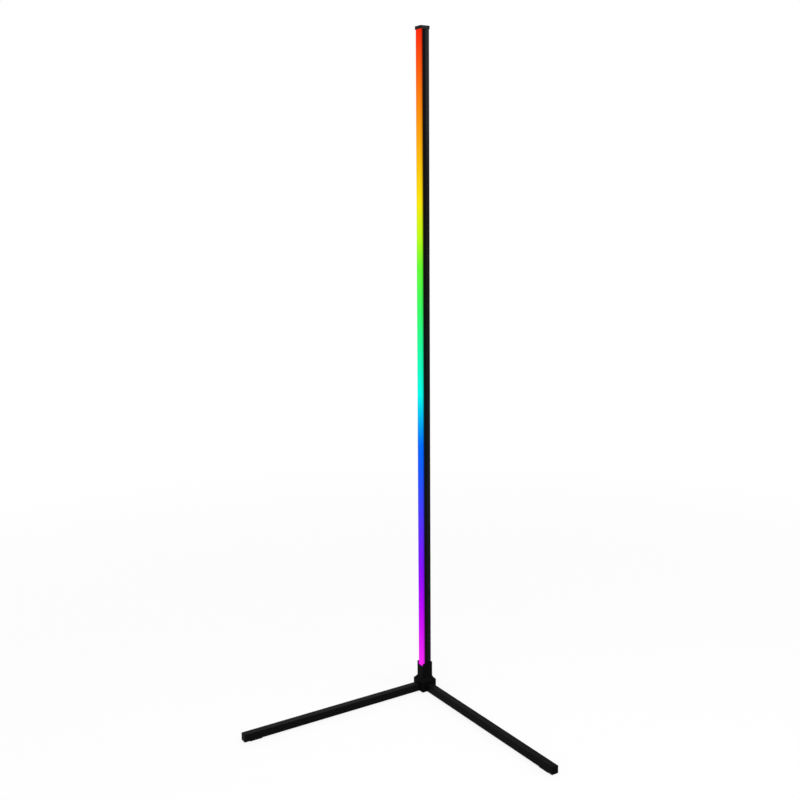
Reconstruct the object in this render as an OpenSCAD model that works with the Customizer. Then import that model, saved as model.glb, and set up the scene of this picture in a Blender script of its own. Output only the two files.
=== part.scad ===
// Corner floor lamp: a slim upright light that stands over the corner of two level legs.
// The origin is on the pole's axis at the floor. +Z is up, in millimetres.
// The light faces -X. One leg runs along -X and the other along -Y.

/* [Overall] */
// Height from the floor to the top of the cap
total_h = 1420; // [1000:10:1800]
// Thickness of the soft pads under the hub and the legs
pad_t = 1.5; // [1:0.1:3]

/* [Pole channel] */
// Width of the pole across the light, and its depth from back to light
pole_w = 20; // [18:0.5:23]
// Depth of the aluminium, from its back to its front edges
channel_d = 16.2; // [14.6:0.1:16.4]
// Thickness of the channel's walls
channel_wall = 1.2; // [1:0.05:1.4]
// Radius of the channel's back corners
channel_r = 0.8; // [0.4:0.1:1.2]
// Depth of the closed space at the back, which holds the joiners
joiner_space = 2.6; // [2.4:0.1:3]
// Thickness of the shelf that carries the light strip
shelf_t = 1; // [0.8:0.1:1.4]
// Size of the small lips that hold the diffuser
lip = 0.5; // [0.3:0.1:0.7]
// Distance of the lips behind the channel's front edges
lip_setback = 1.2; // [1:0.1:1.5]

/* [Joiners] */
// Length of a joiner bar
joiner_len = 80; // [60:2:120]
// Gap between a joiner bar and the space that it slides in
joiner_clear = 0.3; // [0.1:0.05:0.4]
// Distance between the two screws on one side of a joint
joiner_screw_pitch = 20; // [14:1:24]
// Distance from a joint to the nearest screw
joiner_screw_edge = 10; // [6:1:12]
// Length of a joiner screw
joiner_screw_len = 3.2; // [2.6:0.1:3.4]

/* [Diffuser] */
// Thickness of the diffuser's front
diffuser_t = 1.6; // [1.2:0.1:2]
// Rise of the gently domed front
dome_h = 0.6; // [0.3:0.1:1]
// Radius of the diffuser's front corners
diffuser_r = 1.6; // [1:0.1:2]
// Thickness of the diffuser's side walls and snap legs
snap_t = 1.4; // [1.2:0.1:1.8]
// Length of the snap legs behind the channel's front edges
snap_len = 3; // [2.6:0.1:3.6]
// Gap between the snap legs and the channel
snap_clear = 0.1; // [0.05:0.05:0.2]

/* [Light strip] */
// Width of the light strip
strip_w = 10; // [8:1:12]
// Thickness of the strip's flexible board
strip_t = 0.4; // [0.3:0.1:0.6]
// Thickness of the tape that holds the strip
tape_t = 0.2; // [0.1:0.05:0.3]
// Side of a square light chip
chip_w = 5; // [3.5:0.5:5]
// Height of a light chip
chip_t = 1.6; // [1:0.1:2]
// Distance between light chips
chip_pitch = 33.3; // [25:0.1:60]
// Height of the strip's lower end above the pole's foot
strip_start = 30; // [26:1:40]
// Distance from the strip's upper end to the pole's top
strip_stop = 10; // [8:1:30]
// Distance from the strip's ends to the nearest chip
chip_margin = 8; // [6:1:14]

/* [Strip connector] */
// Width of the connector
plug_w = 11; // [9:0.5:12]
// Thickness of the connector
plug_t = 5.4; // [4:0.1:5.6]
// Length of the connector
plug_len = 16; // [12:1:18]
// Height of the connector above the pole's foot
plug_start = 5; // [3:0.5:6]
// Depth of the connector's mouth
plug_mouth = 8; // [5:0.5:10]
// Thickness of the connector's walls
plug_wall = 1; // [0.7:0.1:1.2]
// Number of wires between the connector and the strip
lead_count = 3; // [2:1:4]
// Radius of one wire with its cover
lead_r = 0.6; // [0.4:0.05:0.7]
// How far the wires lie over the lower end of the strip
lead_lap = 2; // [1:0.5:4]

/* [Top cap] */
// Height of the cap
cap_h = 6.5; // [5:0.5:16]
// Thickness of the cap's top
cap_top_t = 2; // [1.5:0.1:3]
// Thickness of the cap's skirt
cap_wall = 1.2; // [0.9:0.1:1.6]
// Radius of the cap's upright corners
cap_r = 2; // [1.4:0.1:2.6]
// Gap between the cap and the pole
cap_clear = 0.1; // [0.05:0.05:0.2]
// Depth of the cap's inner tongue
tongue_h = 6; // [4:0.5:7]
// Thickness of the cap's inner tongue
tongue_t = 3; // [2:0.1:3.2]

/* [Hub cover] */
// Width of the hub
hub_w = 37.5; // [34:0.5:42]
// Thickness of the hub's side walls
hub_wall = 2.5; // [2:0.1:2.8]
// Radius of the hub's upright corners
hub_r = 3; // [2:0.1:4]
// Height of the hub's upper edge above the top of the legs
hub_over_legs = 5.5; // [4.5:0.1:9]
// Thickness of the floor that the pole stands on
socket_floor = 3; // [2:0.1:3.5]
// Height of the socket above the hub's upper edge
socket_h = 41; // [30:1:60]
// Thickness of the socket's walls
socket_wall = 2.25; // [1.5:0.05:2.5]
// Radius of the socket's upright corners
socket_r = 1.8; // [1:0.1:2.4]
// Gap between the pole and the socket
socket_clear = 0.15; // [0.1:0.05:0.3]
// Depth of the opening for the light, in the socket's front wall
light_gap_h = 7; // [3:0.5:12]
// Rise of the hub's sloping shoulders
shoulder_rise = 5.8; // [4:0.1:8]
// Rise of the steeper foot of the socket, above the shoulders
root_rise = 2.4; // [1:0.1:4]
// How far the steeper foot stands out from the socket
root_out = 1.1; // [0.6:0.1:1.6]
// Radius of the cord hole in the floor of the socket
cord_hole_r = 6; // [4:0.1:6.5]

/* [Hub base] */
// Thickness of the base plate
base_t = 3; // [2.5:0.1:4]
// Height of the saddle between the arms, above the base plate
saddle_h = 4; // [2:0.5:6]
// Length of each arm inside its leg
arm_len = 56; // [40:1:90]
// How far each arm reaches past the saddle's edge, where it laps the other arm
arm_lap = 3; // [1:0.5:5]
// Gap between an arm and the inside of its leg
arm_clear = 0.2; // [0.1:0.05:0.4]
// Chamfer at the tip of each arm
arm_chamfer = 1.5; // [0.5:0.1:2.5]
// Gap between the base and the hub cover or the legs
base_clear = 0.15; // [0.1:0.05:0.3]

/* [Legs] */
// Distance from the pole's axis to the end of a leg
leg_reach = 443; // [300:1:600]
// Width of a leg's square tube
leg_w = 16; // [14.5:0.1:17]
// Wall of a leg's tube
leg_wall = 1.2; // [1.1:0.05:1.4]
// Radius of a leg's long edges
leg_r = 1.3; // [1.2:0.1:2]
// How far a leg reaches into the hub
leg_entry = 5; // [4:0.1:5.4]
// Gap between a leg and its window in the hub
leg_clear = 0.15; // [0.1:0.05:0.25]
// Thickness of an end cap's plate
end_plate_t = 2; // [1:0.1:4]
// Length of an end cap's plug
end_plug_len = 12; // [8:1:20]
// Gap between an end cap's plug and its leg
end_plug_clear = 0.1; // [0.05:0.05:0.2]
// Wall of an end cap's hollow plug
end_plug_wall = 1.6; // [1.2:0.1:2.4]
// Distance from the hub's face to the first screw of a leg
leg_screw_edge = 14; // [8:1:18]
// Distance between the two screws of a leg
leg_screw_pitch = 24; // [16:1:30]
// Length of a leg screw
leg_screw_len = 9; // [6:0.5:11]

/* [Pads] */
// Length of the soft pad under a leg
leg_pad_len = 28; // [16:1:60]
// Distance from the leg's end to its pad
leg_pad_setback = 12; // [4:1:40]
// Distance from the edge of a part to the edge of its pad
pad_margin = 1; // [0.5:0.1:2]
// Radius of a pad's corners
pad_r = 2; // [1:0.1:3]

/* [Cord grommet] */
// Radius of the hole that the cord goes through
grommet_bore_r = 2.1; // [1.5:0.1:2.6]
// Radius of the grommet's neck in the hub's wall
grommet_neck_r = 4; // [3.6:0.1:4.4]
// Radius of the grommet's flanges
grommet_flange_r = 5.4; // [4.8:0.1:5.8]
// Thickness of a grommet flange
grommet_flange_t = 1.2; // [0.8:0.1:1.5]
// Chamfer on the grommet's outer edge
grommet_chamfer = 0.4; // [0.2:0.05:0.6]
// Height of the grommet above the floor
grommet_z = 11.5; // [11:0.1:12.5]

/* [Screws] */
// Radius of a screw's shank
screw_r = 1.5; // [1.3:0.05:1.6]
// Radius of a countersunk screw head
screw_head_r = 2.5; // [2.3:0.05:2.6]
// Height of a countersunk screw head
screw_head_h = 1; // [0.8:0.05:1]
// Gap around a screw
screw_clear = 0.05; // [0.02:0.01:0.1]
// Width of the hexagonal recess in a screw head, corner to corner
drive_w = 2.2; // [1.8:0.1:2.4]
// Depth of the hexagonal recess
drive_depth = 0.8; // [0.5:0.1:1]
// Length of a hub screw
hub_screw_len = 13; // [9:0.5:15]

/* [Hidden] */

// Facets of a full circle, of the diffuser's wide dome, and the overrun of a cut.
arc_fn = 48;
dome_fn = 192;
over = 0.5;

// Heights
leg_bottom = pad_t;
leg_top = leg_bottom + leg_w;
hub_edge_z = leg_top + hub_over_legs;
pole_foot = hub_edge_z;
roof_z = pole_foot - socket_floor;
socket_top = hub_edge_z + socket_h;
pole_top = total_h - cap_top_t;
pole_len = pole_top - pole_foot;
section_count = 3; // lower, middle and upper
section_len = pole_len / section_count;

// Places across the pole, from its back (+X) to its light (-X)
back_x = pole_w / 2;
web_x = back_x - channel_wall;
shelf_back_x = web_x - joiner_space;
shelf_x = shelf_back_x - shelf_t;
front_x = back_x - channel_d;
light_x = -pole_w / 2;
inner_half = pole_w / 2 - channel_wall;
lip_x = front_x + lip_setback;
snap_outer = inner_half - snap_clear;
snap_inner = snap_outer - snap_t;
tape_x = shelf_x - tape_t;
strip_x = tape_x - strip_t;
chip_x = strip_x - chip_t;

// The light strip
strip_z = pole_foot + strip_start;
strip_len = pole_len - strip_start - strip_stop;
chip_count = floor((strip_len - 2 * chip_margin) / chip_pitch) + 1;

// The strip connector and its wires
plug_z = pole_foot + plug_start;
plug_top = plug_z + plug_len;
lead_gap = plug_w / (lead_count + 1);

// Widths of the socket and the cap
socket_in = pole_w + 2 * socket_clear;
socket_w = socket_in + 2 * socket_wall;
cap_in = pole_w + 2 * cap_clear;
cap_w = cap_in + 2 * cap_wall;

// Inside the hub
hub_half = hub_w / 2;
room_half = hub_half - hub_wall;
window_w = leg_w + 2 * leg_clear;
leg_inner_end = hub_half - leg_entry;
post_w = room_half - window_w / 2 - base_clear;
post_at = room_half - post_w / 2;
base_half = room_half - base_clear;
arm_w = leg_w - 2 * leg_wall - 2 * arm_clear;
arm_z = leg_bottom + leg_wall + arm_clear;
saddle_half = arm_w / 2;
arm_root = saddle_half - arm_lap;

// Joints between the channel sections, and the screws beside each
seams = [for (i = [1 : section_count - 1]) pole_foot + i * section_len];
joiner_t = joiner_space - joiner_clear;
joiner_w = 2 * inner_half - joiner_clear;
joiner_screw_at = [
    -joiner_screw_edge - joiner_screw_pitch, -joiner_screw_edge,
    joiner_screw_edge, joiner_screw_edge + joiner_screw_pitch
];

// Distances of the leg screws from the pole's axis
leg_screw_at = [
    hub_half + leg_screw_edge,
    hub_half + leg_screw_edge + leg_screw_pitch
];

// ---- Shared shapes ----

// Rectangle with four round corners, centred.
module round_rect(w, d, r) {
    square([w - 2 * r, d], center = true);
    square([w, d - 2 * r], center = true);
    for (sx = [-1, 1], sy = [-1, 1])
        translate([sx * (w / 2 - r), sy * (d / 2 - r)])
            circle(r = r, $fn = arc_fn);
}

// Square bar with round upright edges.
module round_bar(w, h, r) {
    linear_extrude(height = h) round_rect(w, w, r);
}

// Countersunk screw that points along +Z, with its head flush at z = 0.
module flush_screw(len) {
    difference() {
        union() {
            cylinder(h = screw_head_h, r1 = screw_head_r, r2 = screw_r, $fn = arc_fn);
            cylinder(h = len, r = screw_r, $fn = arc_fn);
        }
        translate([0, 0, -over])
            cylinder(h = drive_depth + over, r = drive_w / 2, $fn = 6);
    }
}

// Countersunk hole for that screw.
module flush_hole(len) {
    bore_r = screw_r + screw_clear;
    head_r = screw_head_r + screw_clear;
    cylinder(h = screw_head_h, r1 = head_r, r2 = bore_r, $fn = arc_fn);
    translate([0, 0, -over]) cylinder(h = over, r = head_r, $fn = arc_fn);
    translate([0, 0, -over]) cylinder(h = len + over, r = bore_r, $fn = arc_fn);
}

// Places children at the hub's four screws.
module at_hub_screws() {
    for (sx = [-1, 1], sy = [-1, 1])
        translate([sx * post_at, sy * post_at, leg_bottom]) children();
}

// Places children at the two screws of the leg along -X.
module at_leg_screws() {
    for (d = leg_screw_at)
        translate([-d, 0, leg_bottom]) children();
}

// Places children on both legs: along -X, and turned to run along -Y.
module on_both_legs() {
    children();
    rotate([0, 0, 90]) children();
}

// Places children at one joint's screws, pointing into the pole's back.
module at_joiner_screws(seam) {
    for (dz = joiner_screw_at)
        translate([back_x, 0, seam + dz]) rotate([0, -90, 0]) children();
}

// ---- Hub ----

// Side view of the hub's sloping shoulders, with the steeper foot of the socket.
module shoulder_profile() {
    socket_half = socket_w / 2;
    root_half = socket_half + root_out;
    polygon([
        [-hub_half, 0], [hub_half, 0],
        [root_half, shoulder_rise], [socket_half, shoulder_rise + root_rise],
        [-socket_half, shoulder_rise + root_rise], [-root_half, shoulder_rise]
    ]);
}

// That side view, extruded across the hub.
module shoulder_slab() {
    rotate([90, 0, 0])
        linear_extrude(height = hub_w, center = true) shoulder_profile();
}

// Outside of the hub: block, shoulders on all four sides, and socket.
module hub_outside() {
    translate([0, 0, leg_bottom])
        round_bar(hub_w, hub_edge_z - leg_bottom, hub_r);
    translate([0, 0, hub_edge_z])
        intersection() {
            shoulder_slab();
            rotate([0, 0, 90]) shoulder_slab();
            round_bar(hub_w, shoulder_rise + root_rise, hub_r);
        }
    translate([0, 0, hub_edge_z])
        round_bar(socket_w, socket_h, socket_r);
}

// Room under the hub's roof, without the four screw posts in its corners.
module hub_room() {
    h = roof_z - leg_bottom;
    difference() {
        translate([-room_half, -room_half, leg_bottom - over])
            cube([2 * room_half, 2 * room_half, h + over]);
        for (sx = [-1, 1], sy = [-1, 1])
            translate([sx * post_at, sy * post_at, leg_bottom + base_t + h / 2])
                cube([post_w, post_w, h], center = true);
    }
}

// Window for the leg along -X, open at the bottom.
module leg_window() {
    translate([-hub_half - over, -window_w / 2, leg_bottom - over])
        cube([hub_wall + 2 * over, window_w, leg_w + leg_clear + over]);
}

module hub_cover() {
    color([0.06, 0.06, 0.065])
    difference() {
        hub_outside();
        hub_room();
        on_both_legs() leg_window();
        translate([0, 0, pole_foot + socket_h / 2 + over / 2])
            cube([socket_in, socket_in, socket_h + over], center = true);
        translate([-socket_w / 2 - over, -socket_in / 2, socket_top - light_gap_h])
            cube([socket_wall + 2 * over, socket_in, light_gap_h + over]);
        translate([0, 0, roof_z - over])
            cylinder(h = socket_floor + 2 * over, r = cord_hole_r, $fn = arc_fn);
        at_hub_screws()
            cylinder(h = hub_screw_len + over, r = screw_r + screw_clear, $fn = arc_fn);
        translate([room_half - over, 0, grommet_z]) rotate([0, 90, 0])
            cylinder(h = hub_wall + 2 * over, r = grommet_neck_r, $fn = arc_fn);
    }
}

// Arm inside the leg along -X, with a chamfered tip.
module base_arm() {
    tip = -(hub_half + arm_len);
    half = arm_w / 2;
    translate([0, 0, arm_z])
        intersection() {
            linear_extrude(height = arm_w)
                polygon([
                    [-arm_root, -half], [-arm_root, half],
                    [tip + arm_chamfer, half], [tip, half - arm_chamfer],
                    [tip, -half + arm_chamfer], [tip + arm_chamfer, -half]
                ]);
            translate([0, half, 0]) rotate([90, 0, 0])
                linear_extrude(height = arm_w)
                    polygon([
                        [-arm_root, 0], [-arm_root, arm_w],
                        [tip + arm_chamfer, arm_w], [tip, arm_w - arm_chamfer],
                        [tip, arm_chamfer], [tip + arm_chamfer, 0]
                    ]);
        }
}

// Notch in the base plate for the end of the leg along -X.
module base_notch() {
    reach = leg_inner_end - base_clear;
    translate([-base_half - over, -window_w / 2, leg_bottom - over])
        cube([base_half + over - reach, window_w, base_t + 2 * over]);
}

module hub_base() {
    color([0.22, 0.22, 0.23])
    difference() {
        union() {
            difference() {
                translate([-base_half, -base_half, leg_bottom])
                    cube([2 * base_half, 2 * base_half, base_t]);
                on_both_legs() base_notch();
            }
            translate([-saddle_half, -saddle_half, leg_bottom])
                cube([arm_w, arm_w, base_t + saddle_h]);
            on_both_legs() base_arm();
        }
        at_hub_screws() flush_hole(base_t + over);
        on_both_legs() at_leg_screws()
            cylinder(h = leg_screw_len + over, r = screw_r + screw_clear, $fn = arc_fn);
    }
}

module hub_pad() {
    hole_r = screw_head_r + pad_margin;
    color([0.10, 0.10, 0.10])
    difference() {
        round_bar(hub_w - 2 * pad_margin, pad_t, pad_r);
        for (sx = [-1, 1], sy = [-1, 1])
            translate([sx * post_at, sy * post_at, -over])
                cylinder(h = pad_t + 2 * over, r = hole_r, $fn = arc_fn);
    }
}

module hub_screws() {
    color([0.35, 0.35, 0.36])
    at_hub_screws() flush_screw(hub_screw_len);
}

// Rubber grommet in the hub's back wall: two flanges and a neck around the cord's hole.
module cord_grommet() {
    inner_face = -grommet_flange_t;
    outer_face = hub_wall + grommet_flange_t;
    color([0.08, 0.08, 0.08])
    translate([room_half, 0, grommet_z]) rotate([0, 90, 0])
        rotate_extrude($fn = arc_fn)
            polygon([
                [grommet_bore_r, inner_face], [grommet_flange_r, inner_face],
                [grommet_flange_r, 0], [grommet_neck_r, 0],
                [grommet_neck_r, hub_wall], [grommet_flange_r, hub_wall],
                [grommet_flange_r, outer_face - grommet_chamfer],
                [grommet_flange_r - grommet_chamfer, outer_face],
                [grommet_bore_r, outer_face]
            ]);
}

// ---- Legs ----

// Square tube of the leg along -X.
module leg_tube() {
    tube_len = leg_reach - end_plate_t - leg_inner_end;
    inner_w = leg_w - 2 * leg_wall;
    difference() {
        translate([-leg_inner_end, 0, leg_bottom + leg_w / 2]) rotate([0, -90, 0])
            difference() {
                round_bar(leg_w, tube_len, leg_r);
                translate([-inner_w / 2, -inner_w / 2, -over])
                    cube([inner_w, inner_w, tube_len + 2 * over]);
            }
        at_leg_screws() flush_hole(leg_wall + over);
    }
}

module left_leg() {
    color([0.07, 0.07, 0.075]) leg_tube();
}

module right_leg() {
    color([0.07, 0.07, 0.075]) rotate([0, 0, 90]) leg_tube();
}

// Plug and plate that close the end of the leg along -X.
module end_cap() {
    plug_size = leg_w - 2 * leg_wall - 2 * end_plug_clear;
    hollow = plug_size - 2 * end_plug_wall;
    plate_x = -(leg_reach - end_plate_t);
    translate([plate_x, 0, leg_bottom + leg_w / 2]) rotate([0, -90, 0])
        round_bar(leg_w, end_plate_t, leg_r);
    translate([plate_x, 0, leg_bottom + leg_w / 2]) rotate([0, 90, 0])
        difference() {
            translate([-plug_size / 2, -plug_size / 2, 0])
                cube([plug_size, plug_size, end_plug_len]);
            translate([-hollow / 2, -hollow / 2, 0])
                cube([hollow, hollow, end_plug_len + over]);
        }
}

module left_end_cap() {
    color([0.05, 0.05, 0.055]) end_cap();
}

module right_end_cap() {
    color([0.05, 0.05, 0.055]) rotate([0, 0, 90]) end_cap();
}

module leg_screws() {
    color([0.35, 0.35, 0.36])
    on_both_legs() at_leg_screws() flush_screw(leg_screw_len);
}

// Soft pad under the leg along -X.
module leg_pad() {
    centre = leg_reach - leg_pad_setback - leg_pad_len / 2;
    translate([-centre, 0, 0])
        linear_extrude(height = pad_t)
            round_rect(leg_pad_len, leg_w - 2 * pad_margin, pad_r);
}

module leg_pads() {
    color([0.10, 0.10, 0.10]) on_both_legs() leg_pad();
}

// ---- Pole ----

// Cross-section of the channel: back, side walls, shelf, and lips for the diffuser.
module channel_profile() {
    half = pole_w / 2;
    difference() {
        union() {
            translate([front_x, -half])
                square([channel_d - channel_r, pole_w]);
            translate([front_x, -half + channel_r])
                square([channel_d, pole_w - 2 * channel_r]);
            for (s = [-1, 1])
                translate([back_x - channel_r, s * (half - channel_r)])
                    circle(r = channel_r, $fn = arc_fn);
        }
        translate([front_x - over, -inner_half])
            square([lip_x - front_x + over, 2 * inner_half]);
        polygon([
            [lip_x, -inner_half], [lip_x + lip, -inner_half + lip],
            [lip_x + 2 * lip, -inner_half], [shelf_x, -inner_half],
            [shelf_x, inner_half], [lip_x + 2 * lip, inner_half],
            [lip_x + lip, inner_half - lip], [lip_x, inner_half]
        ]);
        translate([shelf_back_x, -inner_half])
            square([joiner_space, 2 * inner_half]);
    }
}

// One section of the channel, with the screw holes that fall on it.
module channel_section(index) {
    z0 = pole_foot + index * section_len;
    difference() {
        translate([0, 0, z0]) linear_extrude(height = section_len) channel_profile();
        for (seam = seams)
            at_joiner_screws(seam) flush_hole(channel_wall + over);
    }
}

module lower_channel() {
    color([0.07, 0.07, 0.075]) channel_section(0);
}

module middle_channel() {
    color([0.07, 0.07, 0.075]) channel_section(1);
}

module upper_channel() {
    color([0.07, 0.07, 0.075]) channel_section(2);
}

// Flat bar across one joint, drawn tight against the channel's back by its screws.
module joiner(seam) {
    difference() {
        translate([web_x - joiner_t, -joiner_w / 2, seam - joiner_len / 2])
            cube([joiner_t, joiner_w, joiner_len]);
        at_joiner_screws(seam)
            cylinder(h = channel_wall + joiner_t + over, r = screw_r + screw_clear,
                $fn = arc_fn);
    }
}

module lower_joiner() {
    color([0.62, 0.63, 0.65]) joiner(seams[0]);
}

module upper_joiner() {
    color([0.62, 0.63, 0.65]) joiner(seams[1]);
}

module joiner_screws() {
    color([0.30, 0.30, 0.31])
    for (seam = seams)
        at_joiner_screws(seam) flush_screw(joiner_screw_len);
}

// Cross-section of the diffuser: domed front, side walls, and snap legs with grooves.
module diffuser_profile() {
    half = pole_w / 2;
    dome_r = (half * half + dome_h * dome_h) / (2 * dome_h);
    crown = front_x - light_x;
    groove_clear = 2 * snap_clear;
    difference() {
        union() {
            intersection() {
                union() {
                    translate([light_x + diffuser_r, -half])
                        square([crown - diffuser_r, pole_w]);
                    translate([light_x, -half + diffuser_r])
                        square([crown, pole_w - 2 * diffuser_r]);
                    for (s = [-1, 1])
                        translate([light_x + diffuser_r, s * (half - diffuser_r)])
                            circle(r = diffuser_r, $fn = arc_fn);
                }
                translate([light_x + dome_r, 0]) circle(r = dome_r, $fn = dome_fn);
            }
            translate([light_x + diffuser_t, -snap_outer])
                square([crown - diffuser_t + snap_len, 2 * snap_outer]);
        }
        translate([light_x + diffuser_t, -snap_inner])
            square([crown - diffuser_t + snap_len + over, 2 * snap_inner]);
        for (side = [0, 1])
            mirror([0, side]) translate([lip_x, inner_half + groove_clear])
                polygon([
                    [-groove_clear, 0], [lip, -lip - groove_clear],
                    [2 * lip + groove_clear, 0]
                ]);
    }
}

module diffuser() {
    color([0.95, 0.93, 0.96])
    translate([0, 0, pole_foot]) linear_extrude(height = pole_len) diffuser_profile();
}

module strip_tape() {
    color([0.85, 0.80, 0.62])
    translate([tape_x, -strip_w / 2, strip_z]) cube([tape_t, strip_w, strip_len]);
}

module light_strip() {
    color([0.93, 0.93, 0.90])
    translate([strip_x, -strip_w / 2, strip_z]) cube([strip_t, strip_w, strip_len]);
}

module light_chips() {
    first_z = strip_z + (strip_len - (chip_count - 1) * chip_pitch) / 2;
    color([0.98, 0.95, 0.75])
    for (i = [0 : chip_count - 1])
        translate([chip_x, -chip_w / 2, first_z + i * chip_pitch - chip_w / 2])
            cube([chip_t, chip_w, chip_w]);
}

// Small connector at the strip's lower end. Its mouth faces down, for the cord.
module strip_connector() {
    color([0.92, 0.92, 0.90])
    difference() {
        translate([shelf_x - plug_t, -plug_w / 2, plug_z]) cube([plug_t, plug_w, plug_len]);
        translate([shelf_x - plug_t + plug_wall, -plug_w / 2 + plug_wall, plug_z - over])
            cube([plug_t - 2 * plug_wall, plug_w - 2 * plug_wall, plug_mouth + over]);
    }
}

// Wires from the connector to the strip's face, one beside the other.
module strip_leads() {
    lead_x = strip_x - lead_r;
    color([0.75, 0.12, 0.10])
    for (i = [1 : lead_count])
        translate([lead_x, -plug_w / 2 + i * lead_gap, plug_top])
            cylinder(h = strip_z - plug_top + lead_lap, r = lead_r, $fn = arc_fn);
}

// ---- Cap ----

module top_cap() {
    tongue_x = chip_x - tongue_t;
    color([0.05, 0.05, 0.055]) {
        difference() {
            translate([0, 0, total_h - cap_h]) round_bar(cap_w, cap_h, cap_r);
            translate([-cap_in / 2, -cap_in / 2, total_h - cap_h - over])
                cube([cap_in, cap_in, cap_h - cap_top_t + over]);
        }
        translate([tongue_x, -snap_inner + snap_clear, pole_top - tongue_h])
            cube([tongue_t, 2 * (snap_inner - snap_clear), tongue_h + over]);
    }
}

hub_cover();
hub_base();
hub_pad();
hub_screws();
cord_grommet();
left_leg();
right_leg();
left_end_cap();
right_end_cap();
leg_screws();
leg_pads();
lower_channel();
middle_channel();
upper_channel();
lower_joiner();
upper_joiner();
joiner_screws();
diffuser();
strip_tape();
light_strip();
light_chips();
strip_connector();
strip_leads();
top_cap();
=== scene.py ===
import colorsys
import math

import bpy
from mathutils import Matrix, Vector


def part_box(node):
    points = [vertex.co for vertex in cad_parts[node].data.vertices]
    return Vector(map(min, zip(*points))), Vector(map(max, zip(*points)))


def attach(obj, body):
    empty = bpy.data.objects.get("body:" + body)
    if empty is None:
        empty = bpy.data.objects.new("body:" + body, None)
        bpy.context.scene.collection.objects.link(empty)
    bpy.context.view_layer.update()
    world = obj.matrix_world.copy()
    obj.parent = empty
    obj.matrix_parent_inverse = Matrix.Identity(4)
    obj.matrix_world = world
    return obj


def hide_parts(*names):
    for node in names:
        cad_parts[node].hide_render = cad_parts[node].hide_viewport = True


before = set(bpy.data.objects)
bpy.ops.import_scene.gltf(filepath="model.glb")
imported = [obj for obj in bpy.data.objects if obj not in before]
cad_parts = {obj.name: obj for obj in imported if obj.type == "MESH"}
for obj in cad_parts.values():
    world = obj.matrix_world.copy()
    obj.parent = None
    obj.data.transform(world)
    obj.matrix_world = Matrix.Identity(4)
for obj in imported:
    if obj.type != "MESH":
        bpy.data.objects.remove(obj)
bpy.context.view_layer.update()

MM = 0.001

# Sizes of the part, in millimetres, as its source has them. The pole's axis is x 0, y 0, and the
# lit face looks along -X.
POLE_HALF = 10.0           # half the pole's width
SOCKET_IN_HALF = 10.15
SOCKET_HALF = 12.4
SOCKET_TOP = 64.0
LIGHT_GAP_FOOT = 57.0      # foot of the opening in the socket's front wall
HUB_ROOM_HALF = 16.25      # the room inside the hub cover, and its roof
HUB_ROOF = 20.0
SHOULDER_FOOT = 23.0       # where the hub's shoulders start
ROOT_TOP = 31.2            # where they meet the socket
CAP_IN_HALF = 10.1
CAP_ROOF = 1418.0
LEG_HALF = 8.0
LEG_BOTTOM = 1.5
LEG_TOP = 17.5
LEG_END = 443.0            # the legs' outer ends, with their end caps' plates
END_PLATE = 2.0

# The diffuser's section, in millimetres.
LIGHT_X = -10.0            # its face, at the middle
FRONT_X = -6.2             # front edges of the channel
FRONT_T = 1.6
CORNER_R = 1.6
DOME_H = 0.6
SNAP_OUTER = 8.7
SNAP_INNER = 7.3
SNAP_X = -3.2              # ends of the snap legs
GROOVE_X = -4.5
GROOVE_DEPTH = 0.4


# ---- Camera, as the photograph shows the lamp ----

CAMERA_AT = Vector((-1.23300, -1.84299, 1.06203))
CAMERA_YAW = math.radians(32.475)     # turned right, from looking along +Y
CAMERA_PITCH = math.radians(10.330)   # tilted down
CAMERA_ROLL = math.radians(-0.4655)
CAMERA_LENS = 47.481                  # mm
CAMERA_SENSOR = 36                    # mm


def add_object(name, data):
    """Puts a camera, a light or a mesh into the scene."""
    thing = bpy.data.objects.new(name, data)
    bpy.context.scene.collection.objects.link(thing)
    return thing


def make_camera():
    forward = Vector((
        math.sin(CAMERA_YAW) * math.cos(CAMERA_PITCH),
        math.cos(CAMERA_YAW) * math.cos(CAMERA_PITCH),
        -math.sin(CAMERA_PITCH),
    ))
    right = Vector((math.cos(CAMERA_YAW), -math.sin(CAMERA_YAW), 0))
    up = right.cross(forward)
    turned_right = math.cos(CAMERA_ROLL) * right + math.sin(CAMERA_ROLL) * up
    turned_up = math.cos(CAMERA_ROLL) * up - math.sin(CAMERA_ROLL) * right
    data = bpy.data.cameras.new("camera")
    data.lens = CAMERA_LENS
    data.sensor_width = CAMERA_SENSOR
    camera = add_object("camera", data)
    turn = Matrix((turned_right, turned_up, -forward)).transposed()
    camera.matrix_world = Matrix.Translation(CAMERA_AT) @ turn.to_4x4()
    bpy.context.scene.camera = camera


# ---- Short ways to build nodes ----


def add_node(tree, kind, sockets=None, **settings):
    """Adds a node. sockets gives its inputs numbers, or links from other nodes' outputs."""
    node = tree.nodes.new(kind)
    for key, value in settings.items():
        setattr(node, key, value)
    for key, value in (sockets or {}).items():
        if isinstance(value, bpy.types.NodeSocket):
            tree.links.new(value, node.inputs[key])
        else:
            node.inputs[key].default_value = value
    return node


def calculate(tree, operation, *values):
    """The result of one Math node."""
    return add_node(tree, "ShaderNodeMath", dict(enumerate(values)), operation=operation).outputs[0]


def calculate_vector(tree, operation, *values):
    """The result of one Vector Math node."""
    sockets = dict(enumerate(values))
    return add_node(tree, "ShaderNodeVectorMath", sockets, operation=operation).outputs[0]


def linear(red, green, blue):
    """A colour written as it shows on a screen, from 0 to 255, as Blender's linear numbers."""
    def channel(value):
        value /= 255
        return value / 12.92 if value <= 0.04045 else ((value + 0.055) / 1.055) ** 2.4
    return (channel(red), channel(green), channel(blue), 1)


SCREEN_GAMMA = 2.2
NOISE_MIDDLE = (0.3, 0.7)      # most of a noise lies in this part of its range
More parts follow.
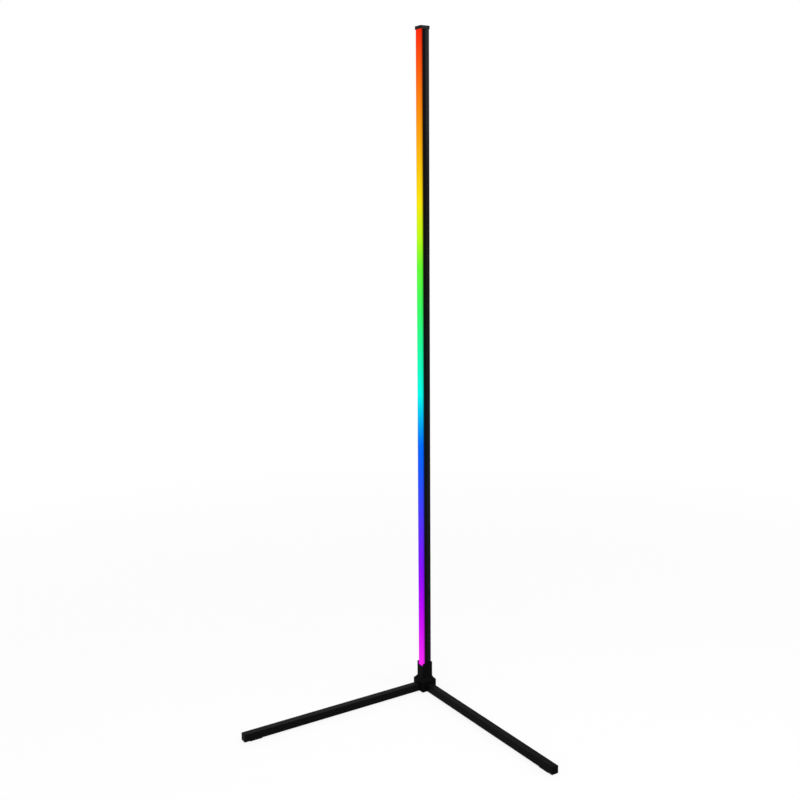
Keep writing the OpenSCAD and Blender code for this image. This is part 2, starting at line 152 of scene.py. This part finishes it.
# How alike the plain and the rounded normal are: on an open face, and on an edge.
EDGE_BENDS = (0.98, 0.80)
BEVEL_SAMPLES = 4


class Surface:
    """One material: its Principled shader, and the nodes that feed it."""

    def __init__(self, name, **sockets):
        self.material = bpy.data.materials.new(name)
        self.material.use_nodes = True
        self.tree = self.material.node_tree
        self.shader = self.tree.nodes["Principled BSDF"]
        self.place = self.node("ShaderNodeTexCoord").outputs["Object"]
        for socket, value in sockets.items():
            self.shader.inputs[socket.replace("_", " ")].default_value = value

    def node(self, kind, sockets=None, **settings):
        return add_node(self.tree, kind, sockets, **settings)

    def math(self, operation, *values):
        return calculate(self.tree, operation, *values)

    def xyz(self):
        """The place on the piece as three numbers, in metres."""
        return self.node("ShaderNodeSeparateXYZ", {0: self.place}).outputs

    def drawn_out(self, times):
        """The place on the piece, for a pattern that is so many times longer along Z."""
        sockets = {"Vector": self.place, "Scale": (1, 1, 1 / times)}
        return self.node("ShaderNodeMapping", sockets).outputs["Vector"]

    def noise(self, size_mm, detail=3, roughness=0.55, place=None):
        """Noise from 0 to 1, with features about size_mm across."""
        return self.node("ShaderNodeTexNoise", {
            "Vector": place or self.place,
            "Scale": 1 / (size_mm * MM),
            "Detail": detail,
            "Roughness": roughness,
        }).outputs["Fac"]

    def cells(self, size_mm):
        """The distance from the middle of the nearest cell. Cells are about size_mm across."""
        sockets = {"Vector": self.place, "Scale": 1 / (size_mm * MM)}
        return self.node("ShaderNodeTexVoronoi", sockets).outputs["Distance"]

    def between(self, value, low, high, from_low=0.0, from_high=1.0):
        """value, carried from one range to another."""
        return self.node("ShaderNodeMapRange", {
            "Value": value,
            "From Min": from_low,
            "From Max": from_high,
            "To Min": low,
            "To Max": high,
        }).outputs["Result"]

    def spread(self, noise, low=0.0, high=1.0):
        """Noise, with the middle of its range carried to the range from low to high."""
        return self.between(noise, low, high, *NOISE_MIDDLE)

    def rising(self, value, start, full, most=1.0):
        """0 up to start, and from there rising to most, which it reaches at full."""
        return self.between(value, 0, most, start, full)

    def ramp(self, value, stops):
        """Colours that change with value. stops are (place, colour) pairs."""
        node = self.node("ShaderNodeValToRGB", {"Fac": value})
        elements = node.color_ramp.elements
        while len(elements) < len(stops):
            elements.new(0.5)
        for element, (at, colour) in zip(elements, stops):
            element.position = at
            element.color = colour
        return node.outputs["Color"]

    def as_light(self, colour):
        """A colour that is written as it shows on a screen, as Blender's linear numbers."""
        sockets = {"Color": colour, "Gamma": SCREEN_GAMMA}
        return self.node("ShaderNodeGamma", sockets).outputs["Color"]

    def mix(self, amount, first, second, blend="MIX"):
        """Two colours, blended. The node's inputs 6 and 7 are its colours, and so is output 2."""
        sockets = {0: amount, 6: first, 7: second}
        return self.node("ShaderNodeMix", sockets, data_type="RGBA", blend_type=blend).outputs[2]

    def bump(self, height, depth_mm, strength, under=None):
        """A normal that follows height, on top of the normal under it."""
        sockets = {"Height": height, "Distance": depth_mm * MM, "Strength": strength}
        if under:
            sockets["Normal"] = under
        return self.node("ShaderNodeBump", sockets).outputs["Normal"]

    def edges(self, radius_mm):
        """Near 1 on the piece's edges and 0 on its open faces."""
        rounded = self.node("ShaderNodeBevel", {"Radius": radius_mm * MM}, samples=BEVEL_SAMPLES)
        plain = self.node("ShaderNodeNewGeometry")
        sockets = {0: rounded.outputs["Normal"], 1: plain.outputs["True Normal"]}
        alike = self.node("ShaderNodeVectorMath", sockets, operation="DOT_PRODUCT")
        return self.between(alike.outputs["Value"], 0, 1, *EDGE_BENDS)

    def finish(self, colour, roughness, normal=None):
        """Gives the shader its colour, roughness and normal. Returns the material."""
        given = {"Base Color": colour, "Roughness": roughness, "Normal": normal}
        for socket, source in given.items():
            if source:
                self.tree.links.new(source, self.shader.inputs[socket])
        return self.material


# ---- Materials. A pair of colours is a surface's darker and lighter tone ----

ANODISED = linear(8, 8, 10), linear(13, 13, 15)
DRAW_LINE = linear(30, 30, 33)
WORN_AND_SHEEN_ANODISED = linear(54, 54, 58)
BAND_BLACK = linear(4, 4, 5)
BAND_FROM = 1.3 * MM           # the channel's side faces are darker and rougher from the light back to here
BAND_BLUR = 0.5 * MM
MATT_ROUGHER = 0.45
LINE_STRETCH = 250


def black_aluminium():
    """Satin black anodised extrusion with faint draw lines, and a darker, rougher band beside the
    light.
    """
    s = Surface("black_aluminium", Specular_IOR_Level=0.05)
    lines = s.noise(0.35, detail=5, roughness=0.7, place=s.drawn_out(LINE_STRETCH))
    clouds = s.noise(40, detail=4)
    grains = s.noise(0.12, detail=2)
    # The side faces beside the light are painted darker here, and made rougher.
    dark_band = s.between(s.xyz()[0], 1, 0, BAND_FROM - BAND_BLUR, BAND_FROM)
    tone = s.mix(s.spread(clouds), *ANODISED)
    streaked = s.mix(s.rising(lines, 0.42, 0.72, most=0.8), tone, DRAW_LINE)
    # Edges are painted lighter: partly edge wear, partly a painted highlight.
    wear_and_sheen = s.mix(s.math("MULTIPLY", s.edges(0.25), 0.35), streaked, WORN_AND_SHEEN_ANODISED)
    colour = s.mix(s.math("MULTIPLY", dark_band, s.spread(grains, 0.85, 1.0)), wear_and_sheen, BAND_BLACK)
    satin = s.math("ADD", s.between(lines, 0.11, 0.24), s.spread(clouds, -0.03, 0.03))
    rough = s.math("ADD", satin, s.math("MULTIPLY", dark_band, MATT_ROUGHER))
    normal = s.bump(grains, 0.015, 0.4, under=s.bump(lines, 0.025, 0.6))
    return s.finish(colour, rough, normal)


DEEP_BLACK = linear(4, 4, 5), linear(9, 9, 10)
PITTED_BLACK = linear(21, 21, 22)
WORN_AND_SHEEN_PLASTIC = linear(42, 42, 44)


def black_plastic(name, level, smooth, rough):
    """Black moulding with a fine spark-eroded texture; its edges are lighter, partly from a little
    wear and partly as a painted edge highlight.

    level is its specular level, and its roughness lies between smooth and rough."""
    s = Surface(name, Specular_IOR_Level=level)
    grains = s.noise(0.35, detail=4, roughness=0.65)
    clouds = s.noise(14, detail=3)
    tone = s.mix(s.spread(clouds), *DEEP_BLACK)
    pitted = s.mix(s.rising(grains, 0.45, 0.7, most=0.8), tone, PITTED_BLACK)
    # Edges are painted lighter: partly edge wear, partly a painted highlight.
    wear_and_sheen = s.math("MULTIPLY", s.edges(0.4), s.between(grains, 0, 0.7))
    gloss = s.math("ADD", s.between(grains, smooth, rough), s.spread(clouds, -0.04, 0.04))
    return s.finish(s.mix(wear_and_sheen, pitted, WORN_AND_SHEEN_PLASTIC), gloss, s.bump(grains, 0.10 * rough, 0.8))


PEELED_BLACK = linear(19, 19, 20)
COAT_SPECK = linear(44, 44, 47)


def black_steel():
    """Black powder coat on square tube: fine orange peel with small specks."""
    s = Surface("black_steel", Specular_IOR_Level=0.014)
    peel = s.noise(1.1, detail=2, roughness=0.4)
    specks = s.noise(0.22, detail=2)
    clouds = s.noise(30, detail=3)
    tone = s.mix(s.spread(clouds), *DEEP_BLACK)
    mottled = s.mix(s.rising(peel, 0.40, 0.65, most=0.8), tone, PEELED_BLACK)
    colour = s.mix(s.rising(specks, 0.62, 0.72), mottled, COAT_SPECK)
    rough = s.math("ADD", s.between(peel, 0.34, 0.52), s.spread(clouds, -0.04, 0.04))
    normal = s.bump(specks, 0.02, 0.5, under=s.bump(peel, 0.09, 0.7))
    return s.finish(colour, rough, normal)


CASTING = linear(104, 104, 107), linear(138, 138, 140)


def cast_metal():
    """Grey die casting with a slightly mottled, grainy skin."""
    s = Surface("cast_metal", Metallic=0.8)
    grains = s.noise(0.5, detail=5, roughness=0.7)
    flow = s.noise(9, detail=3)
    rough = s.math("ADD", s.between(grains, 0.42, 0.62), s.between(flow, -0.05, 0.05))
    return s.finish(s.mix(s.spread(flow), *CASTING), rough, s.bump(grains, 0.05, 0.7))


ZINC = linear(176, 178, 182), linear(205, 206, 208)
BRUSH_STRETCH = 50


def bright_steel():
    """Zinc-plated bar: soft spangles and fine brush marks."""
    s = Surface("bright_steel", Metallic=1.0)
    spangle = s.cells(3.5)
    marks = s.noise(0.15, detail=4, place=s.drawn_out(BRUSH_STRETCH))
    rough = s.math("ADD", s.between(marks, 0.22, 0.38), s.between(spangle, -0.03, 0.05))
    return s.finish(s.mix(spangle, *ZINC), rough, s.bump(marks, 0.006, 0.5))


BLACK_OXIDE = linear(40, 40, 42), linear(96, 96, 100)


def screw_steel():
    """Black-oxide screws, rubbed a little brighter in places."""
    s = Surface("screw_steel", Metallic=0.75)
    rubbed = s.noise(0.7, detail=4, roughness=0.7)
    colour = s.mix(s.rising(rubbed, 0.52, 0.75), *BLACK_OXIDE)
    return s.finish(colour, s.between(rubbed, 0.28, 0.48), s.bump(rubbed, 0.01, 0.4))


RUBBER = linear(22, 22, 22), linear(34, 34, 34)


def soft_rubber():
    """Matt black rubber with a fine open grain."""
    s = Surface("soft_rubber", Specular_IOR_Level=0.2, Sheen_Weight=0.15, Sheen_Roughness=0.6)
    pores = s.cells(0.35)
    clouds = s.noise(6, detail=3)
    rough = s.between(pores, 0.72, 0.92)
    return s.finish(s.mix(s.spread(clouds), *RUBBER), rough, s.bump(pores, 0.05, 0.6))


SOLDER_MASK = linear(236, 236, 230)
COPPER_TRACE = linear(214, 206, 186)
TRACE_AT = 4.0 * MM            # from the middle of the strip
TRACE_HALF = 0.45 * MM


def strip_board():
    """White solder mask over a copper trace along each side."""
    s = Surface("strip_board", Specular_IOR_Level=0.5)
    across = s.math("ABSOLUTE", s.xyz()[1])
    trace = s.math("COMPARE", across, TRACE_AT, TRACE_HALF)
    fibres = s.noise(0.6, detail=3)
    height = s.math("ADD", trace, s.math("MULTIPLY", fibres, 0.2))
    colour = s.mix(trace, SOLDER_MASK, COPPER_TRACE)
    return s.finish(colour, s.between(fibres, 0.35, 0.5), s.bump(height, 0.03, 0.6))


CHIP_CASE = linear(240, 240, 236)
CHIP_RESIN = linear(240, 206, 92), linear(248, 224, 132)
CHIP_SIDE = 5 * MM
CHIP_PITCH = 33.3 * MM
CHIP_WINDOW = 1.8 * MM         # radius


def light_chip():
    """White cased chips, each with a round window of yellow resin."""
    s = Surface("light_chip", Specular_IOR_Level=0.5, Coat_Weight=0.3)
    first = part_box("light_chips")[0].z + CHIP_SIDE / 2
    _, across, up = s.xyz()
    above = s.math("WRAP", s.math("SUBTRACT", up, first), CHIP_PITCH / 2, -CHIP_PITCH / 2)
    square = s.math("ADD", s.math("MULTIPLY", above, above), s.math("MULTIPLY", across, across))
    window = s.math("LESS_THAN", square, CHIP_WINDOW ** 2)
    gel = s.noise(0.5, detail=2)
    return s.finish(s.mix(window, CHIP_CASE, s.mix(gel, *CHIP_RESIN)), s.between(gel, 0.18, 0.30))


TAPE = linear(214, 200, 160), linear(228, 216, 182)


def strip_tape():
    """Thin translucent adhesive tape."""
    s = Surface("strip_tape", Specular_IOR_Level=0.4)
    ripple = s.noise(2.5, detail=3)
    return s.finish(s.mix(ripple, *TAPE), s.between(ripple, 0.25, 0.45))


NYLON = linear(232, 230, 220), linear(240, 239, 231)


def white_plastic():
    """Natural nylon, slightly waxy."""
    s = Surface("white_plastic", Subsurface_Weight=0.2, Subsurface_Scale=0.002)
    grains = s.noise(0.4, detail=3)
    colour = s.mix(s.noise(4), *NYLON)
    return s.finish(colour, s.between(grains, 0.35, 0.48), s.bump(grains, 0.01, 0.4))


RED_COVER = linear(168, 24, 20), linear(188, 34, 28)


def lead_cover():
    """Red wire insulation."""
    s = Surface("lead_cover", Specular_IOR_Level=0.5)
    grains = s.noise(0.5, detail=3)
    return s.finish(s.mix(grains, *RED_COVER), s.between(grains, 0.32, 0.45))


# The rainbow along the diffuser: height above the floor in metres, and its hue there in degrees
# and purity, from 0 to 1.
RAINBOW = [
    (0.06, 302, 0.82),     # magenta at the foot
    (0.20, 283, 0.96),
    (0.28, 270, 0.92),
    (0.56, 214, 1.00),
    (0.67, 176, 0.96),
    (0.85, 134, 0.77),
    (0.94, 104, 0.79),
    (1.00, 77, 0.89),
    (1.07, 55, 0.93),
    (1.29, 27, 0.93),
    (1.41, 8, 0.93),       # red at the top
]
BRIGHTEST = 0.98
SIDE_SHARE = 0.88          # brightness left at the sides of the lit face
WALL_SHARE = 0.12          # brightness left where the side walls meet the channel
UNLIT = linear(5, 5, 5)


def lit(hue, purity):
    """A bright colour of that hue and purity, as it shows on a screen."""
    return (*colorsys.hsv_to_rgb(hue / 360, purity, BRIGHTEST), 1)


def opal_diffuser():
    """Opal plastic lit from inside in one rainbow run, fading down its side walls."""
    s = Surface("opal_diffuser", Specular_IOR_Level=0.004, Emission_Strength=1.0)
    depth, across, up = s.xyz()
    low, high = RAINBOW[0][0], RAINBOW[-1][0]
    stops = [((z - low) / (high - low), lit(hue, purity)) for z, hue, purity in RAINBOW]
    rainbow = s.as_light(s.ramp(s.between(up, 0, 1, low, high), stops))
    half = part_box("diffuser")[1].y
    front = s.between(s.math("ABSOLUTE", across), 1.0, SIDE_SHARE, half * 0.5, half)
    wall = s.between(depth, 1.0, WALL_SHARE, (LIGHT_X + CORNER_R * 0.4) * MM, FRONT_X * MM)
    glow = s.mix(1.0, rainbow, s.math("MULTIPLY", front, wall), "MULTIPLY")
    s.tree.links.new(glow, s.shader.inputs["Emission Color"])
    tint_and_gloss_noise = s.noise(8, detail=3)
    # The base colour is near black, with a faint painted tint of the rainbow glow.
    colour = s.mix(s.between(tint_and_gloss_noise, 0.005, 0.02), UNLIT, rainbow)
    return s.finish(colour, s.between(tint_and_gloss_noise, 0.36, 0.48), s.bump(s.noise(0.6), 0.01, 0.2))


# ---- How CAD meshes are welded, rounded and shaded ----

SHARP_ANGLE = math.radians(28)
FLAT_ANGLE = math.radians(0.2)     # faces that bend less than this are joined
WELD_DISTANCE = 0.0005 * MM


def start_group(name):
    """An empty group of geometry nodes, with the sockets that its work starts and ends at."""
    tree = bpy.data.node_groups.new(name, "GeometryNodeTree")
    for in_out in ("INPUT", "OUTPUT"):
        tree.interface.new_socket("Geometry", in_out=in_out, socket_type="NodeSocketGeometry")
    given = add_node(tree, "NodeGroupInput").outputs[0]
    result = add_node(tree, "NodeGroupOutput").inputs[0]
    return tree, given, result


def greater(tree, value, limit):
    sockets = {0: value, 1: limit}
    return add_node(tree, "FunctionNodeCompare", sockets, operation="GREATER_THAN").outputs[0]


def is_sharp(tree):
    """True on an edge whose two faces meet at a sharp angle."""
    angle = add_node(tree, "GeometryNodeInputMeshEdgeAngle").outputs["Unsigned Angle"]
    return greater(tree, angle, SHARP_ANGLE)


def outside_of(tree, low, high):
    """True where a point lies outside one box."""
    place = add_node(tree, "GeometryNodeInputPosition").outputs[0]
    from_centre = calculate_vector(tree, "SUBTRACT", place, (low + high) / 2)
    distance = calculate_vector(tree, "ABSOLUTE", from_centre)
    past = calculate_vector(tree, "SUBTRACT", distance, (high - low) / 2)
    x, y, z = add_node(tree, "ShaderNodeSeparateXYZ", {0: past}).outputs
    return greater(tree, calculate(tree, "MAXIMUM", calculate(tree, "MAXIMUM", x, y), z), 0)


def set_sharpness(tree, geometry):
    """Smooth shading that breaks only at sharp edges."""
    sockets = {"Mesh": geometry, "Remove Custom": True, "Edge Sharpness": is_sharp(tree)}
    return add_node(tree, "GeometryNodeSetMeshNormal", sockets).outputs[0]


def welded(name, zones):
    """Joins a CAD mesh at its faces' borders, and says how far each sharp edge is rounded.

    zones are ((low, high), share) pairs: inside a box the rounding is that share of the whole."""
    tree, given, result = start_group(name)
    weight = is_sharp(tree)
    for (low, high), share in zones:
        kept = calculate(tree, "MULTIPLY_ADD", outside_of(tree, low, high), 1 - share, share)
        weight = calculate(tree, "MULTIPLY", weight, kept)
    sockets = {"Geometry": given, "Distance": WELD_DISTANCE}
    whole = add_node(tree, "GeometryNodeMergeByDistance", sockets).outputs[0]
    sockets = {"Geometry": whole, "Name": "bevel_weight_edge", "Value": weight}
    kind = "GeometryNodeStoreNamedAttribute"
    weighted = add_node(tree, kind, sockets, data_type="FLOAT", domain="EDGE").outputs[0]
    tree.links.new(set_sharpness(tree, weighted), result)
    return tree


def shaded(name):
    """Shades a mesh smooth, but for its sharp edges."""
    tree, given, result = start_group(name)
    tree.links.new(set_sharpness(tree, given), result)
    return tree


SHADED = shaded("shaded")


def soften(node, radius_mm, segments=3, zones=(), clamp=True):
    """Rounds a CAD piece's edges a little, as moulding, coating and anodising do."""
    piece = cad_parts[node]
    piece.modifiers.new("weld", "NODES").node_group = welded("weld_" + node, zones)
    flat = piece.modifiers.new("flat", "DECIMATE")
    flat.decimate_type = "DISSOLVE"
    flat.angle_limit = FLAT_ANGLE
    bevel = piece.modifiers.new("bevel", "BEVEL")
    bevel.width = radius_mm * MM
    bevel.segments = segments
    bevel.limit_method = "WEIGHT"
    bevel.use_clamp_overlap = clamp
    piece.modifiers.new("shade", "NODES").node_group = SHADED
    piece.modifiers.new("normals", "WEIGHTED_NORMAL").keep_sharp = True


# ---- Where edges stay sharp, or are rounded less ----

SKIN = 0.1                 # mm from a zone's border to the edges that it takes in or leaves out
WIDE = 20.0                # mm, more than half the hub's width, and more than the legs' height
FAR = 1500.0               # mm, past every end of the part


def zone_mm(low, high):
    return Vector(v * MM for v in low), Vector(v * MM for v in high)


def round_axis(half, bottom, top):
    """A zone round the pole's axis, by half its width and its heights."""
    return zone_mm((-half, -half, bottom), (half, half, top))


def under_skin(low, high):
    """What lies inside the outer faces at low and high, by more than the skin."""
    return zone_mm([v + SKIN for v in low], [v - SKIN for v in high])


INSIDE_CHANNEL = under_skin((-WIDE, -POLE_HALF, 0), (POLE_HALF, POLE_HALF, FAR))
INSIDE_CAP = round_axis(CAP_IN_HALF + SKIN, 0, CAP_ROOF + SKIN)
INSIDE_LEFT_LEG = under_skin((-FAR, -LEG_HALF, LEG_BOTTOM), (-POLE_HALF, LEG_HALF, LEG_TOP))
INSIDE_RIGHT_LEG = under_skin((-LEG_HALF, -FAR, LEG_BOTTOM), (LEG_HALF, -POLE_HALF, LEG_TOP))
PLUG_END = -LEG_END + END_PLATE + SKIN     # inward from here an end cap is its plug
LEFT_PLUG = zone_mm((PLUG_END, -WIDE, 0), (0, WIDE, WIDE))
RIGHT_PLUG = zone_mm((-WIDE, PLUG_END, 0), (WIDE, 0, WIDE))
# Each zone of the hub cover, and the share of the radius that its edges get there: the room
# inside, the socket's bore, the border of shoulders and socket, the shoulders, the opening for
# the light, and the socket's rim.
HUB_ZONES = [
    (round_axis(HUB_ROOM_HALF + SKIN, 0, HUB_ROOF + SKIN), 0),
    (round_axis(SOCKET_IN_HALF + SKIN, 0, SOCKET_TOP - SKIN), 0),
    (round_axis(WIDE, ROOT_TOP - SKIN, ROOT_TOP + SKIN), 0),
    (round_axis(WIDE, SHOULDER_FOOT - SKIN, ROOT_TOP + SKIN), 0.2),
    (zone_mm(
        (-SOCKET_HALF - SKIN, -SOCKET_IN_HALF - SKIN, LIGHT_GAP_FOOT - SKIN),
        (-SOCKET_IN_HALF + SKIN, SOCKET_IN_HALF + SKIN, SOCKET_TOP - SKIN),
    ), 0.5),
    (round_axis(WIDE, SOCKET_TOP - SKIN, SOCKET_TOP + SKIN), 0.5),
]

# Pieces that are rounded all over: the radius in millimetres, and how many segments make it.
ROUNDED = {
    "hub_base": (0.3, 3),
    "hub_pad": (0.25, 3),
    "leg_pads": (0.25, 3),
    "cord_grommet": (0.15, 3),
    "lower_joiner": (0.1, 3),
    "upper_joiner": (0.1, 3),
    "hub_screws": (0.06, 2),
    "leg_screws": (0.06, 2),
    "joiner_screws": (0.06, 2),
    "strip_connector": (0.05, 2),
    "strip_leads": (0.05, 2),
    "light_chips": (0.05, 2),
    "light_strip": (0.05, 2),
    "strip_tape": (0.05, 2),
}


def soften_all():
    """Inside the channels, the cap, the legs and on the end caps' plugs, edges stay sharp."""
    for section in ("lower_channel", "middle_channel", "upper_channel"):
        soften(section, radius_mm=0.15, zones=[(INSIDE_CHANNEL, 0)], clamp=False)
    soften("hub_cover", radius_mm=0.5, zones=HUB_ZONES, clamp=False)
    soften("top_cap", radius_mm=0.4, zones=[(INSIDE_CAP, 0)])
    soften("left_leg", radius_mm=0.15, zones=[(INSIDE_LEFT_LEG, 0)])
    soften("right_leg", radius_mm=0.15, zones=[(INSIDE_RIGHT_LEG, 0)])
    soften("left_end_cap", radius_mm=0.3, zones=[(LEFT_PLUG, 0)])
    soften("right_end_cap", radius_mm=0.3, zones=[(RIGHT_PLUG, 0)])
    for node, (radius_mm, segments) in ROUNDED.items():
        soften(node, radius_mm, segments)


# ---- The diffuser, again, with finer arcs ----

DOME_STEPS = 16
CORNER_STEPS = 12


def diffuser_section():
    """Half of the section, from the middle of the face round to the inside.

    Its points are (x, y) in millimetres."""
    dome_r = (POLE_HALF ** 2 + DOME_H ** 2) / (2 * DOME_H)
    flat = POLE_HALF - CORNER_R
    turns = [math.radians(90 * i / CORNER_STEPS) for i in range(CORNER_STEPS + 1)]
    across = [flat * i / DOME_STEPS for i in range(DOME_STEPS)]
    across += [flat + CORNER_R * math.sin(turn) for turn in turns]
    points = []
    for y in across:
        corner = CORNER_R - math.sqrt(max(0, CORNER_R ** 2 - max(0, y - flat) ** 2))
        dome = dome_r - math.sqrt(dome_r ** 2 - y ** 2)
        points.append((LIGHT_X + max(corner, dome), y))
    return points + [
        (FRONT_X, POLE_HALF), (FRONT_X, SNAP_OUTER), (GROOVE_X - GROOVE_DEPTH, SNAP_OUTER),
        (GROOVE_X, SNAP_OUTER - GROOVE_DEPTH), (GROOVE_X + GROOVE_DEPTH, SNAP_OUTER),
        (SNAP_X, SNAP_OUTER), (SNAP_X, SNAP_INNER), (LIGHT_X + FRONT_T, SNAP_INNER),
    ]


def make_mesh(name, points, faces, material):
    mesh = bpy.data.meshes.new(name)
    mesh.from_pydata(points, [], faces)
    mesh.materials.append(material)
    return add_object(name, mesh)


def make_lens(material):
    """The section, run from the foot of the diffuser to its top."""
    half = diffuser_section()
    ring = [(x, -y) for x, y in half] + list(reversed(half[1:]))
    low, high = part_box("diffuser")
    points = [(x * MM, y * MM, z) for z in (low.z, high.z) for x, y in ring]
    count = len(ring)
    faces = [(i, (i + 1) % count, count + (i + 1) % count, count + i) for i in range(count)]
    faces += [tuple(reversed(range(count))), tuple(range(count, 2 * count))]
    lens = make_mesh("diffuser_lens", points, faces, material)
    lens.modifiers.new("shade", "NODES").node_group = SHADED
    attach(lens, "pole")
    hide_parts("diffuser")


def dress(material, *nodes):
    """Gives CAD pieces their material."""
    for node in nodes:
        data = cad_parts[node].data
        data.materials.clear()
        data.materials.append(material)


def dress_all():
    textured = black_plastic("black_plastic", level=0.015, smooth=0.42, rough=0.56)
    glossier = black_plastic("smooth_black_plastic", level=0.07, smooth=0.16, rough=0.26)
    dress(black_aluminium(), "lower_channel", "middle_channel", "upper_channel")
    dress(textured, "hub_cover", "left_end_cap", "right_end_cap")
    dress(glossier, "top_cap")
    dress(black_steel(), "left_leg", "right_leg")
    dress(cast_metal(), "hub_base")
    dress(bright_steel(), "lower_joiner", "upper_joiner")
    dress(screw_steel(), "hub_screws", "leg_screws", "joiner_screws")
    dress(soft_rubber(), "hub_pad", "leg_pads", "cord_grommet")
    dress(strip_board(), "light_strip")
    dress(light_chip(), "light_chips")
    dress(strip_tape(), "strip_tape")
    dress(white_plastic(), "strip_connector")
    dress(lead_cover(), "strip_leads")


# ---- Floor and light ----

WHITE = (1, 1, 1, 1)
FLOOR_COLOUR = linear(246, 246, 246)
FLOOR_RADIUS = 6.0
FLOOR_SIDES = 96
FLOOR_WHITE = 0.8          # how much of the floor's look is plain white near the pole
FADE_FROM = 0.5            # metres from the pole: from here the floor turns plain white
FADE_TO = 2.2
WORLD_LIGHT = 0.5
# Softboxes: name, place, what it looks at, width and height in metres, power in watts.
SOFTBOXES = [
    ("top_softbox", (-0.5, -0.9, 3.0), (0, 0, 0.3), 2.4, 2.4, 60),
    ("right_softbox", (1.35, -2.05, 1.74), (0, 0, 1.35), 0.8, 0.8, 7.4),
    ("back_softbox", (0.95, 2.50, 1.32), (-0.2, 0, 0), 0.6, 0.5, 4),
]


def seen_directly(tree):
    """1 for what the camera, gloss and glass see, and 0 for the light that falls on things."""
    rays = add_node(tree, "ShaderNodeLightPath").outputs
    seen = calculate(tree, "MAXIMUM", rays["Is Camera Ray"], rays["Is Glossy Ray"])
    return calculate(tree, "MAXIMUM", seen, rays["Is Transmission Ray"])


def floor_white():
    """A white floor that keeps a faint shadow near the lamp."""
    s = Surface("floor_white", Base_Color=FLOOR_COLOUR, Roughness=0.9, Specular_IOR_Level=0.1)
    x, y, _ = s.xyz()
    square = s.math("ADD", s.math("MULTIPLY", x, x), s.math("MULTIPLY", y, y))
    share = s.between(s.math("SQRT", square), FLOOR_WHITE, 1.0, FADE_FROM, FADE_TO)
    amount = s.math("MULTIPLY", seen_directly(s.tree), share)
    white = s.node("ShaderNodeEmission").outputs[0]
    blend = s.node("ShaderNodeMixShader", {0: amount, 1: s.shader.outputs[0], 2: white})
    s.tree.links.new(blend.outputs[0], s.tree.nodes["Material Output"].inputs["Surface"])
    return s.material


def make_floor():
    turns = [2 * math.pi * i / FLOOR_SIDES for i in range(FLOOR_SIDES)]
    points = [(FLOOR_RADIUS * math.cos(t), FLOOR_RADIUS * math.sin(t), 0) for t in turns]
    floor = make_mesh("floor", points, [tuple(range(FLOOR_SIDES))], floor_white())


def make_world():
    """White where the camera, gloss or glass looks past the lamp, and weaker as a light."""
    world = bpy.data.worlds.new("studio")
    bpy.context.scene.world = world
    world.use_nodes = True
    tree = world.node_tree
    sockets = {"Value": seen_directly(tree), "To Min": WORLD_LIGHT, "To Max": 1.0}
    strength = add_node(tree, "ShaderNodeMapRange", sockets).outputs["Result"]
    background = tree.nodes["Background"]
    background.inputs["Color"].default_value = WHITE
    tree.links.new(strength, background.inputs["Strength"])


def make_softbox(name, place, target, width, height, power):
    data = bpy.data.lights.new(name, "AREA")
    data.shape = "RECTANGLE"
    data.size = width
    data.size_y = height
    data.energy = power
    light = add_object(name, data)
    light.location = place
    light.rotation_euler = (Vector(target) - Vector(place)).to_track_quat("-Z", "Y").to_euler()


dress_all()
make_lens(opal_diffuser())
soften_all()
make_camera()
make_floor()
make_world()
for softbox in SOFTBOXES:
    make_softbox(*softbox)
bpy.context.scene.view_settings.view_transform = "Standard"
